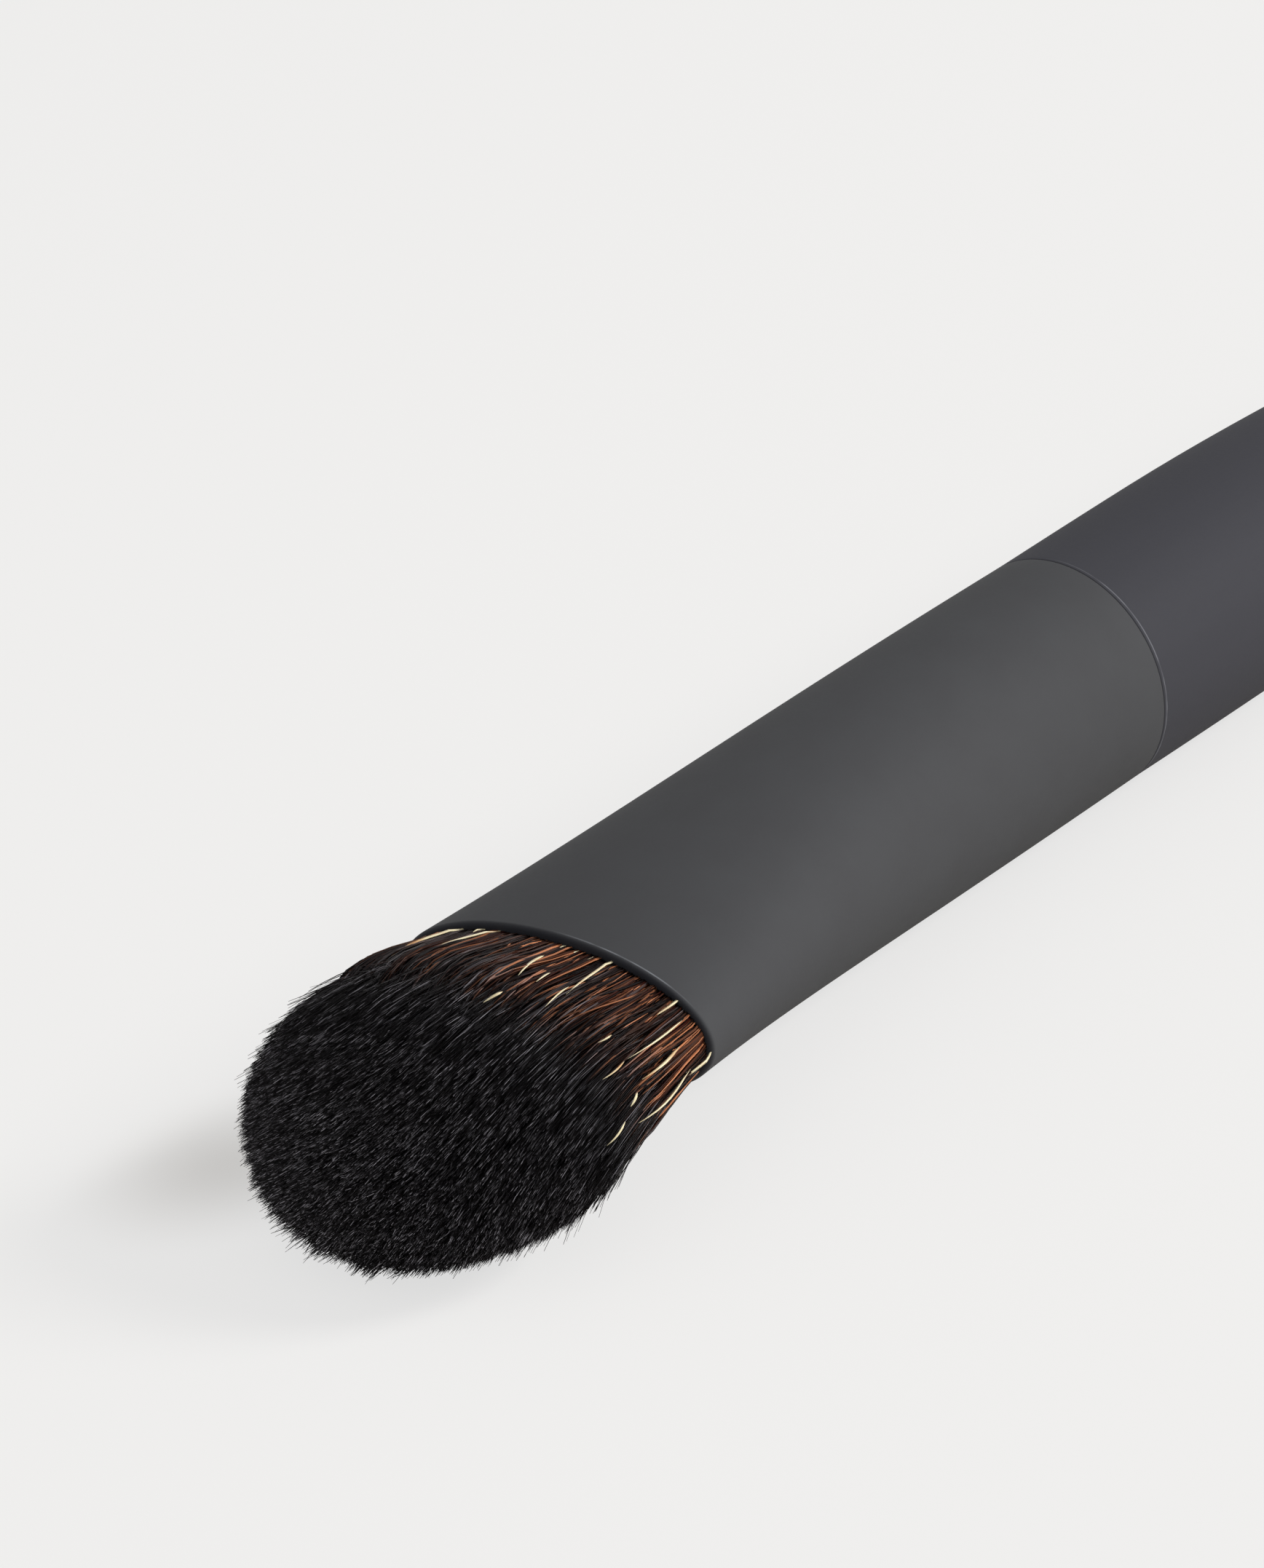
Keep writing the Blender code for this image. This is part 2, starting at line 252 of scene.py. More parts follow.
def make_handle():
    """Tenon, rounded shoulder, belly, long taper and a rounded butt with a flat end."""
    tenon_radius = min(ferrule_half_sizes(TENON_TIP, FERRULE_WALL)) - TENON_GAP
    shoulder = FERRULE_LENGTH + JOINT_LINE
    profile = [
        (TENON_TIP, tenon_radius - TENON_CHAMFER),
        (TENON_TIP + TENON_CHAMFER, tenon_radius),
        (shoulder, tenon_radius),
    ]
    for out, inward in reversed(round_steps(SHOULDER_ROUND)):
        profile.append((shoulder + SHOULDER_ROUND - out, FERRULE_REAR_DIAMETER / 2 - inward))
    last = HANDLE_LENGTH - BUTT_ROUND
    profile += [(SHOULDER_STATION + last * step / BODY_STEPS, handle_radius(last * step / BODY_STEPS))
                for step in range(BODY_STEPS + 1)]
    butt_station, butt_radius = profile[-1]
    for out, inward in round_steps(BUTT_ROUND, BUTT_STEPS)[1:]:
        profile.append((butt_station + out, butt_radius - inward))
    return loft("handle_body", [(station, radius, radius, 0) for station, radius in profile], HANDLE_SIDES)


handle = make_handle()
mark_edge(handle, SHOULDER_STATION, FERRULE_LENGTH + JOINT_LINE)
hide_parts("handle")
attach(handle, "root")
print(f"belly softened by {(BELLY_DIAMETER / 2 - handle_radius(BELLY_STATION)) / MM:.2f} mm")

# %% [markdown]
# ## The tuft's outline
# The hair is cut and shaken into its shape before it is potted, so the tuft has a clear outline: it leaves
# the oval mouth, flares past it, and rounds off to a dome. The same few formulas as in the solid give that
# outline here, written for whole arrays of hairs at once. A share of 0 is the mouth, 1 is the far tip.

# %% Outline formulas
TUFT_REACH = 10.2 * MM
TUFT_WIDTH = 14.5 * MM
TUFT_THICKNESS = 7.8 * MM
TUFT_DROP = 2.65 * MM
FLARE_LENGTH = 5.0 * MM
SIDE_DOME_SHARE = 0.52
TOP_DOME_SHARE = 0.08
EDGE_TIP_SHARE = 0.42
ROOT_FIT = 0.01 * MM


def dome(share, start_share):
    """Share of the full half size that is left at a share of the reach."""
    turn = np.maximum((share - start_share) / (1 - start_share), 0)
    return np.sqrt(np.maximum(1 - turn**2, 0))


def flared_half_sizes(share):
    """Half width and half thickness of the tuft before its dome is cut."""
    mouth_width, mouth_thickness = ferrule_half_sizes(0, FERRULE_WALL + ROOT_FIT)
    rise = np.clip(share * TUFT_REACH / FLARE_LENGTH, 0, 1)
    flare = rise * rise * (3 - 2 * rise)
    half_width = mouth_width + (TUFT_WIDTH / 2 - mouth_width) * flare
    half_thickness = mouth_thickness + (TUFT_THICKNESS / 2 - mouth_thickness) * flare
    return half_width, half_thickness


for share in (0.0, 0.25, 0.5):
    print("outline at", share, [round(float(size) / MM, 2) for size in flared_half_sizes(share)])

# %% [markdown]
# ## The imported middle
# Thousands of hairs fill the tube solid, and no light comes through them. Hairs in the depth can't be told
# apart, so one dark closed body stands for the imported middle, from the potted roots to just under the dome.
# Its colour is the dyed hair's black, a little darker as painted shade, so that the gaps between the modelled
# hairs stay black, as they look in a real brush.

# %% Packed middle
CORE_SHARE = 0.74
CORE_REACH_SHARE = 0.86
CORE_END_SHARE = 0.02
CORE_SIDES = 72
CORE_STEPS = 28
CORE_NECK = ((4.0 * MM, 0.25 * MM), (1.0 * MM, 0.3 * MM))


def make_packed_middle():
    """The closed dark body of hair under the modelled hairs; its neck is (station, clearance) in the tube."""
    sections = [(station, *ferrule_half_sizes(station, FERRULE_WALL + clearance), 0)
                for station, clearance in CORE_NECK]
    for step in range(CORE_STEPS + 1):
        share = sin(pi / 2 * step / CORE_STEPS)
        reach = share * CORE_REACH_SHARE
        half_width, half_thickness = flared_half_sizes(reach)
        wide = float(half_width * max(dome(share, SIDE_DOME_SHARE), CORE_END_SHARE)) * CORE_SHARE
        thick = float(half_thickness * max(dome(share, TOP_DOME_SHARE), CORE_END_SHARE)) * CORE_SHARE
        sections.append((-reach * TUFT_REACH, wide, thick, TUFT_DROP * reach**2))
    return loft("hair_packed_middle", sections, CORE_SIDES)


packed_middle = make_packed_middle()
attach(packed_middle, "root")

# %% [markdown]
# ## One bundle of hairs
# A hair here is a thin three-sided prism with a fine point. Blender's own hair curves would look right in
# Cycles, but they are not a mesh, and this brush has to leave Blender as a mesh. So a flat grid is cut into
# loose triangles, and each triangle is extruded ring by ring into a straight hair. Every vertex remembers its
# hair and its corner in an integer layer, and its ring in its height. This bundle is then copied and combed.

# %% Straight bundle
def straight_bundle(name, hairs, rings):
    """A mesh of loose three-sided hairs, each vertex's (hair, ring, corner) as an array, and their number."""
    bm = bmesh.new()
    hair_layer = bm.verts.layers.int.new("hair")
    corner_layer = bm.verts.layers.int.new("corner")
    across = int(sqrt(hairs / 2))
    bmesh.ops.create_grid(bm, x_segments=across, y_segments=-(-hairs // (2 * across)), size=1)
    bmesh.ops.triangulate(bm, faces=bm.faces)
    bmesh.ops.split_edges(bm, edges=bm.edges)
    for number, face in enumerate(bm.faces):
        for corner, vert in enumerate(face.verts):
            vert[hair_layer] = number
            vert[corner_layer] = corner
    count = len(bm.faces)
    faces = bmesh.ops.extrude_face_region(bm, geom=bm.faces[:], use_keep_orig=True)["geom"]
    faces = [item for item in faces if isinstance(item, bmesh.types.BMFace)]
    for ring in range(rings):
        if ring:
            faces = bmesh.ops.extrude_discrete_faces(bm, faces=faces)["faces"]
        bmesh.ops.translate(bm, verts=list({vert for face in faces for vert in face.verts}), vec=(0, 0, 1))
    order = np.array([(vert[hair_layer], round(vert.co.z), vert[corner_layer]) for vert in bm.verts])
    print(f"{name}: {count} hairs")
    return finish_mesh(name, bm), order, count


# %% [markdown]
# ## From centre lines to hairs
# Every hair is known by its centre line, one point for each ring, and by how thick it is there. This helper
# copies a straight bundle, so that a bundle is grown only once, and moves every vertex to its place round its
# own centre line. It also keeps three numbers on each vertex for the hair's colour: how far it is from the
# mouth in mm, a random shade, and how russet it is.

# %% Place a bundle on its centre lines
FLOOR_CLEARANCE = 0.02 * MM


def place_bundle(name, bundle, share, centre, thickness, warmth, random):
    """A piece of hair: the bundle's hairs on these centre lines, with these thicknesses."""
    mesh, order, count = bundle
    hair, ring, corner = order.T
    angle = random.uniform(0, 2 * pi, count)[hair] + corner * 2 * pi / 3
    place = centre[hair, ring]
    place[:, 1] += thickness[hair, ring] / 2 * np.cos(angle)
    place[:, 2] += thickness[hair, ring] / 2 * np.sin(angle)
    place[:, 2] = np.maximum(place[:, 2], FLOOR_CLEARANCE)
    made = mesh.copy()
    made.name = name
    made.vertices.foreach_set("co", place.ravel())
    colouring = {"along": (share * TUFT_REACH / MM)[hair, ring], "shade": random.random(count)[hair],
                 "warmth": warmth[hair]}
    for label, values in colouring.items():
        made.attributes.new(label, "FLOAT", "POINT").data.foreach_set("value", values.astype(np.float32))
    for label in ("hair", "corner"):
        made.attributes.remove(made.attributes[label])
    made.update()
    piece = new_object(name, made)
    print(f"{name}: {count} hairs, the lowest at {place[:, 2].min() / MM:.2f} mm")
    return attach(piece, "root")


# %% [markdown]
# ## Locks
# What makes combed points look like hair is disorder on top of an even flow. Neighbours stick together in
# small locks that draw to a point and are longer or shorter as one. Purely random roots would leave bald
# spots, so roots and locks are spread like a sunflower's seeds and then shaken a little. All random numbers
# are seeded, so the brush is the same on every run.

# %% Roots, locks and russet
LOCKS = 1500
LOCK_PULL = 0.22
LOCK_SCATTER = 0.35
LOCK_LENGTH_SPREAD = 0.012
HAIR_SCATTER = 0.3
LEAST_SPREAD = 0.02
GOLDEN_TURN = pi * (3 - sqrt(5))
RUSSET_SHADES = (0.5, 1.0)
RUSSET_MIDDLE = 0.5
RUSSET_LEAN = 0.4
RUSSET_SIDES = (0.2, 1.0)
RUSSET_LOCKS = 0.7
RUSSET_CHANCES = (0.5, 0.15)


def sunflower(count, inner=0.0, outer=1.0):
    """Places spread evenly over a ring of the unit disc, as the seeds of a sunflower are."""
    index = np.arange(count) + 0.5
    radius = np.sqrt(inner**2 + (outer**2 - inner**2) * index / count)
    return np.stack([radius * np.cos(index * GOLDEN_TURN), radius * np.sin(index * GOLDEN_TURN)], axis=1)


lock_random = np.random.default_rng(11)
lock_places = sunflower(LOCKS) + lock_random.normal(0, LOCK_SCATTER / sqrt(LOCKS), (LOCKS, 2))
lock_lengths = lock_random.normal(0, LOCK_LENGTH_SPREAD, LOCKS)
lock_warmth = lock_random.random(LOCKS)


def plant(count, inner, outer, random):
    """Each hair's root as a share of the mouth's half sizes, its distance from the middle, and its lock."""
    root = sunflower(count, inner, outer) + random.normal(0, HAIR_SCATTER / sqrt(count), (count, 2))
    spread = np.hypot(root[:, 0], root[:, 1])
    root *= (np.clip(spread, LEAST_SPREAD, 1.0) / spread)[:, None]
    lock = np.argmin(((root[:, None, :] - lock_places[None, :, :]) ** 2).sum(axis=2), axis=1)
    return root, np.clip(spread, LEAST_SPREAD, 1.0), lock


def russet_amount(root, lock, random):
    """How russet each hair is: mostly on the -Y side of the mouth, in whole locks and single hairs."""
    side = np.clip(RUSSET_MIDDLE - root[:, 0] * RUSSET_LEAN, *RUSSET_SIDES)
    likely = np.where(lock_warmth[lock] < side * RUSSET_LOCKS, *RUSSET_CHANCES) * side
    return np.where(random.random(len(root)) < likely, random.uniform(*RUSSET_SHADES, len(root)), 0.0)


print(LOCKS, "locks that differ in length by", round(lock_lengths.std() * TUFT_REACH / MM, 2), "mm")

# %% [markdown]
# ## Combing
# Hair is straight: packed tight at the root, each hair leans outwards a little and runs on to its place on
# the dome. Only the outermost ones are bent, by the rim that they press against. So each hair is a straight
# line from its root to its tip, drawn some way towards the bulging outline if it lies at the outside. On top
# of that lengths differ, and each hair leans, waves and flicks in its own way.

# %% Comb a bundle along the flow
HAIR_LENGTH_SPREAD = 0.018
START_SPREAD = (0.45, 1.0)
BENT_FROM = 0.6
BENT_SHARES = (0.05, 0.65)
BASE_SINK = 0.14
DROOP_KEPT = 0.45
FLICK = 0.09 * MM
FLICK_POWER = 4
ROOT_SHOWN_SHARE = -0.03
WAVE_TURNS = (0.6, 2.2)
WAVE_SIZES = (0.2, 1.0)
WAVE_CALMED = 0.75
COMBED_THICKNESS = (0.7, 1.2)
COMBED_TAPER = (0.4, 1.4)


def wander(size, share, random):
    """A slow sideways wave for each hair, as (hairs, rings, 2), that starts from nothing at the mouth."""
    count = len(share)
    phase = random.uniform(0, 2 * pi, (count, 1, 2))
    turns = random.uniform(*WAVE_TURNS, (count, 1, 2))
    room = np.sqrt(np.clip(share, 0, None))[:, :, None]
    calm = (1 - WAVE_CALMED * np.linspace(0, 1, share.shape[1]) ** 2)[None, :, None]
    wave = np.sin(phase + 2 * pi * turns * share[:, :, None])
    return size * random.uniform(*WAVE_SIZES, (count, 1, 2)) * room * calm * wave


def tapered(width, tip_width, travel, start, power):
    """A hair's thickness as a share: full up to a share of its length, then down to the tip's."""
    return 1 + (tip_width / width - 1) * np.clip((travel - start) / (1 - start), 0, 1) ** power


def tips_on_dome(spread, lock, random):
    """How far each hair reaches, and how much it is widened there, across and up."""
    lock_spread = np.hypot(*lock_places[lock].T)
    tip_spread = np.clip(spread + LOCK_PULL * 2 * (lock_spread - spread), LEAST_SPREAD, 1.0)
    tip_share = EDGE_TIP_SHARE + (1 - EDGE_TIP_SHARE) * np.sqrt(1 - tip_spread**2)
    widening = [dome(tip_share, start) / tip_spread for start in (SIDE_DOME_SHARE, TOP_DOME_SHARE)]
    return tip_share * (1 + lock_lengths[lock] + random.normal(0, HAIR_LENGTH_SPREAD, len(lock))), widening


def comb(name, bundle, seed, inner, outer, behind_tip, width, tip_width, wave, lean):
    """Lays a bundle's hairs along the flow: from the mouth, or from a length behind their tips."""
    droop, sink = (1.0, 0.0) if behind_tip is None else (DROOP_KEPT, BASE_SINK)
    random = np.random.default_rng(seed)
    order, count = bundle[1:]
    rings = order[:, 1].max()
    root, spread, lock = plant(count, inner, outer, random)
    tip_share, widening = tips_on_dome(spread, lock, random)
    start = np.full(count, ROOT_SHOWN_SHARE)
    if behind_tip is not None:
        start = tip_share - behind_tip * random.uniform(*START_SPREAD, count) / TUFT_REACH

    travel = (np.arange(rings + 1) / rings)[None, :]
    share = start[:, None] + (tip_share - start)[:, None] * travel
    bend = (np.clip(share, 0, None) / tip_share[:, None]) ** 2
    bent = random.uniform(*BENT_SHARES, count) * np.clip((spread - BENT_FROM) / (1 - BENT_FROM), 0, 1)
    leaning = random.normal(0, lean, (count, 2)) if lean else np.zeros((count, 2))
    flick = random.exponential(FLICK if behind_tip is None else 0.0, count) / spread
    waves = wander(wave, share, random)
    centre = np.empty((count, rings + 1, 3))
    centre[:, :, 0] = mouth.x - share * TUFT_REACH
    for axis, drop in ((0, 0.0), (1, TUFT_DROP)):
        size, tip_size = flared_half_sizes(share)[axis], flared_half_sizes(tip_share)[axis]
        # The hair on the bulging outline, drawn towards the middle of its lock
        gathered = root[:, axis, None] + LOCK_PULL * bend * (lock_places[lock, axis] - root[:, axis])[:, None]
        curved = gathered * size * (1 + (widening[axis][:, None] - 1) * bend) - drop * share * np.abs(share)
        # The same hair as a straight line between its root and its tip
        tip = (gathered[:, -1] * tip_size * widening[axis] - drop * tip_share**2)[:, None]
        base = root[:, axis, None] * flared_half_sizes(0.0)[axis]
        slope = (tip - base) * (droop if drop else 1.0)
        straight = tip - slope * (1 - share / tip_share[:, None]) - sink * base * (1 - travel)
        line = straight + bent[:, None] * (curved - straight) + waves[:, :, axis]
        line += leaning[:, axis, None] * (travel - 1) * (1 - spread**2)[:, None]
        line += (flick * root[:, axis])[:, None] * travel**FLICK_POWER
        centre[:, :, 1 + axis] = mouth[1 + axis] + line
    thickness = (width * random.uniform(*COMBED_THICKNESS, count))[:, None]
    thickness = thickness * tapered(width, tip_width, travel, *COMBED_TAPER)
    return place_bundle(name, bundle, share, centre, thickness, russet_amount(root, lock, random), random)


# %% [markdown]
# ## Growing the tuft
# Only the outermost hairs show over their whole length, so those are modelled from the mouth to the tip.
# The hairs inside show no more than their last millimetres on the dome, so they start there. Each piece is
# small enough to be its own mesh, and all are combed from the same two straight bundles.

# %% Long outer hairs and inner tips
OUTER_RINGS = ((0.9, 0.995), (0.8, 0.98), (0.66, 0.94))
INNER_PIECES = 4
INNER_EDGE = 0.94
TIPS_SHOWN = 2.8 * MM

long_bundle = straight_bundle("long_bundle", 3400, 9)
short_bundle = straight_bundle("short_bundle", 7400, 4)
hair_pieces = []
for number, (inner, outer) in enumerate(OUTER_RINGS):
    hair_pieces.append(comb(
        f"hair_outer_{number + 1}", long_bundle, 20 + number, inner, outer, None,
        width=0.052 * MM, tip_width=0.014 * MM, wave=0.12 * MM, lean=0))
for number in range(INNER_PIECES):
    hair_pieces.append(comb(
        f"hair_inner_{number + 1}", short_bundle, 40 + number, 0.0, INNER_EDGE, TIPS_SHOWN,
        width=0.046 * MM, tip_width=0.012 * MM, wave=0.06 * MM, lean=0.3 * MM))
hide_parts("hair_tuft")

# %% [markdown]
# ## Undyed hairs at the root
# Close to the mouth the tuft is not neat. Some hairs took up less dye and show russet, a few are cream, and
# they cross their neighbours at odd angles. These lie on the outside of the tuft, so they are described by
# where they start and end on it: an angle round the mouth, counted from +Y over the top, and a share of the
# reach. They rise over the rim as they leave it, and their ends dip under the surface, so that none of them
# looks glued on. Colouring some of the black hairs would be quicker, but none would cross.

# %% Lay hairs on the outside
RIM_BULGE = 0.19 * MM
RIM_BULGE_SHARE = 0.025
FREE_BULGE_SHARE = 0.45
ARCH_SHARE = 0.03
FULL_ARCH_SHARE = 0.3
TURN_POWER = 1.3
LAID_THICKNESS = (0.6, 1.25)
LAID_TAPER = (0.5, 1.6)
FREE_START_SHARE = 0.2
FREE_START_RUN = 0.3


def lay(name, bundle, seed, start_angle, start_share, end_angle, end_share, width, tip_width, wave, lift, dip,
        warmth):
    """Lays hairs on the tuft's outside, each from one angle and share to another."""
    random = np.random.default_rng(seed)
    order, count = bundle[1:]
    rings = order[:, 1].max()
    travel = (np.arange(rings + 1) / rings)[None, :]
    free = (start_share > 0)[:, None]
    share = start_share[:, None] + (end_share - start_share)[:, None] * travel
    angle = np.radians(start_angle[:, None] + (end_angle - start_angle)[:, None] * travel**TURN_POWER)
    long = np.clip((end_share - start_share) / FULL_ARCH_SHARE, 0, 1)[:, None]
    lift = random.uniform(*lift, count)[:, None]
    lift = lift + ARCH_SHARE * long * np.sin(pi * travel) - dip * long * travel**3
    side, top = dome(share, SIDE_DOME_SHARE), dome(share, TOP_DOME_SHARE)
    bulge = RIM_BULGE * np.where(free, FREE_BULGE_SHARE, 1.0)
    bulge = bulge * np.clip(share / RIM_BULGE_SHARE, 0, 1) * (1 - travel)
    half_width, half_thickness = (size + bulge for size in flared_half_sizes(share))
    waves = wander(wave, share, random)
    centre = np.empty((count, rings + 1, 3))
    centre[:, :, 0] = mouth.x - share * TUFT_REACH
    centre[:, :, 1] = mouth.y + np.cos(angle) * lift * half_width * side + waves[:, :, 0]
    centre[:, :, 2] = mouth.z + np.sin(angle) * lift * half_thickness * top + waves[:, :, 1]
    centre[:, :, 2] -= TUFT_DROP * share * np.abs(share)
    taper = tapered(width, tip_width, travel, *LAID_TAPER)
    taper = taper * np.where(free, np.clip(FREE_START_SHARE + travel / FREE_START_RUN, 0, 1), 1)
    thickness = (width * random.uniform(*LAID_THICKNESS, count))[:, None] * taper
    return place_bundle(name, bundle, share, centre, thickness, warmth, random)


# %% [markdown]
# ## Russet and black root hairs
# A thin last layer of root hairs lies all round the mouth. About a third of them are russet, in clumps and
# more often on the -Y side, and black ones cross between them. They are too many to be placed by hand.

# %% Russet and black root hairs
RUSSET_HAIRS = 2400
RUSSET_DRIFT = 4.0
RUSSET_END_SHARES = (0.2, 0.5)
RUSSET_SHARE = 0.36
RUSSET_SIDE_GAIN = 0.12
RUSSET_CLUMP_GAIN = 0.2
RUSSET_CLUMPS = 11
RUSSET_LIMITS = (0.12, 0.62)

root_bundle = straight_bundle("root_bundle", RUSSET_HAIRS, 7)
count = root_bundle[2]
random = np.random.default_rng(71)
angles = random.uniform(0, 360, count)
drift = random.normal(0, RUSSET_DRIFT, count)
clumps = np.sin(np.radians(angles * RUSSET_CLUMPS))
likely = RUSSET_SHARE - RUSSET_SIDE_GAIN * np.cos(np.radians(angles)) + RUSSET_CLUMP_GAIN * clumps
likely = np.clip(likely, *RUSSET_LIMITS)
ends = random.uniform(*RUSSET_END_SHARES, count)
warm = np.where(random.random(count) < likely, random.uniform(*RUSSET_SHADES, count), 0.0)
starts = np.full(count, ROOT_SHOWN_SHARE)
russet = lay("hair_root_russet", root_bundle, 72, angles, starts, angles + drift, ends,
             width=0.07 * MM, tip_width=0.025 * MM, wave=0.11 * MM, lift=(0.94, 1.0), dip=0.11, warmth=warm)
hair_pieces.append(russet)
print(int((warm > 0).sum()), "of these are russet")

# %% [markdown]
# ## Cream hairs
# The cream hairs are few, and the eye finds every one of them, so they are listed one by one and not placed at
# random.
# Each row is an angle in degrees and a share where the hair starts, and again where it ends. A share of 0
# starts it in the mouth, and any other hair lies loose on the tuft.

# %% Cream hairs
CREAM_HAIRS = (
    (60, 0.0, 56, 0.26), (76, 0.0, 70, 0.26), (70, 0.0, 68, 0.08), (101, 0.0, 101, 0.05),
    (102, 0.08, 107, 0.27), (112, 0.2, 113, 0.27), (111, 0.4, 108.5, 0.45), (121, 0.22, 123, 0.35),
    (106, 0.0, 107, 0.08), (112, 0.0, 115, 0.16), (118, 0.0, 123, 0.25), (148, 0.0, 149, 0.12),
    (158, 0.03, 157, 0.3), (168, 0.12, 167, 0.31), (145, 0.3, 144, 0.35), (187, 0.0, 192, 0.14),
    (186, 0.1, 183, 0.38), (173, 0.45, 175, 0.53), (154, 0.34, 154, 0.43), (168, 0.36, 171, 0.4),
    (236, 0.03, 240, 0.26), (262, 0.0, 258, 0.16), (301, 0.0, 306, 0.22), (333, 0.05, 330, 0.25),
)

cream_bundle = straight_bundle("cream_bundle", len(CREAM_HAIRS), 8)
table = np.resize(np.array(CREAM_HAIRS), (cream_bundle[2], 4))
starts = np.where(table[:, 1] == 0, ROOT_SHOWN_SHARE, table[:, 1])
cream = lay("hair_root_cream", cream_bundle, 81, table[:, 0], starts, table[:, 2], table[:, 3],
            width=0.095 * MM, tip_width=0.025 * MM, wave=0.14 * MM, lift=(1.01, 1.035), dip=0.04,
            warmth=np.zeros(cream_bundle[2]))
for bundle in (long_bundle, short_bundle, root_bundle, cream_bundle):
    bpy.data.meshes.remove(bundle[0])

# %% [markdown]
# ## Colours and nodes
# Colours are given as sRGB hex values, while a shader works in linear light. One function turns the
# one into the other. Another adds a node with its settings and its links, which keeps each material short.

# %% Colour and node helpers
def linear(hex_colour):
    """An sRGB hex colour as the linear colour that a shader takes, by the sRGB standard's own curve."""
    channels = [int(hex_colour[at:at + 2], 16) / 255 for at in (0, 2, 4)]
    return (*[c / 12.92 if c <= 0.04045 else ((c + 0.055) / 1.055) ** 2.4 for c in channels], 1.0)


def add_node(tree, kind, inputs=None, **settings):
    """Adds a node with its settings and inputs; a node given as an input stands for its first output."""
    node = tree.nodes.new(kind)
    for name, value in settings.items():
        setattr(node, name, value)
    for name, value in (inputs or {}).items():
        if isinstance(value, bpy.types.Node):
            value = value.outputs[0]
        if isinstance(value, bpy.types.NodeSocket):
            tree.links.new(value, node.inputs[name])
        else:
            node.inputs[name].default_value = value
    return node


def new_tree(name):
    """A new material and its empty node tree."""
    material = bpy.data.materials.new(name)
    material.use_nodes = True
    material.node_tree.nodes.clear()
    return material, material.node_tree


def per_mm(size):
    """A texture's scale that gives features of this size in millimetres on Object coordinates."""
    return 1 / (size * MM)


def dress(piece, material):
    """Makes this the piece's only material."""
    piece.data.materials.clear()
    piece.data.materials.append(material)
    print(piece.name, "is", material.name)


print("the grey 808080 is", round(linear("808080")[0], 3), "in linear light")

# %% [markdown]
# ## Soft-touch lacquer
# Ferrule and handle are sprayed with soft-touch lacquer: a polyurethane with fine matting beads that feels
# like rubber. To the eye it is a deep even grey with no sharp reflection, a velvety falloff, and a very fine
# orange-peel. On the metal it is neutral. On the wood it is slightly bluer, and the grain shows as the
# faintest lengthwise streaks. The beads are far too fine to see, so their grain is drawn at 0.09 mm.
# A thin light line in broken bits runs beside the lip and the joint, along one side: a painted highlight,
# where the rounded edge catches the lamps. Past it, the ferrule's lip is coloured darker as painted shade of
# the end face, which faces away from the lamps; on the handle that colour is nearly its own. Both read the
# number that was kept on each vertex, because a texture alone can't tell where an edge is.

# %% Lacquer on metal and on wood
PATCH_SIZE = 1.6
BEAD_SIZE = 0.09
PEEL_SIZE = 0.7
LINE_AT = 0.52
LINE_HALF_WIDTH = 0.12
LINE_ENDS = (-6.2 * MM, -4.6 * MM)
LINE_BREAKS = (0.3, 0.6)
LEAST_HIGHLIGHT = 0.25
DARK_EDGE = (0.55, 0.95)


def painted_highlight_line(tree, place, edge, peel, highlight_side):
    """How strong the painted highlight line beside an edge is; the side pair gives from and to which Y it
    fades in.
    """
    away = add_node(tree, "ShaderNodeMath", {0: edge, 1: LINE_AT}, operation="SUBTRACT")
    away = add_node(tree, "ShaderNodeMath", {0: away}, operation="ABSOLUTE")
    line = add_node(tree, "ShaderNodeMapRange", {
        "Value": away, "From Max": LINE_HALF_WIDTH, "To Min": 1.0, "To Max": 0.0})
    across = add_node(tree, "ShaderNodeSeparateXYZ", {0: place}).outputs["Y"]
    limits = ((across, highlight_side, 0.0), (across, LINE_ENDS, 0.0), (peel, LINE_BREAKS, LEAST_HIGHLIGHT))
    for value, (low, high), least in limits:
        part = add_node(tree, "ShaderNodeMapRange", {
            "Value": value, "From Min": low, "From Max": high, "To Min": least})
        line = add_node(tree, "ShaderNodeMath", {0: line, 1: part}, operation="MULTIPLY")
    return line


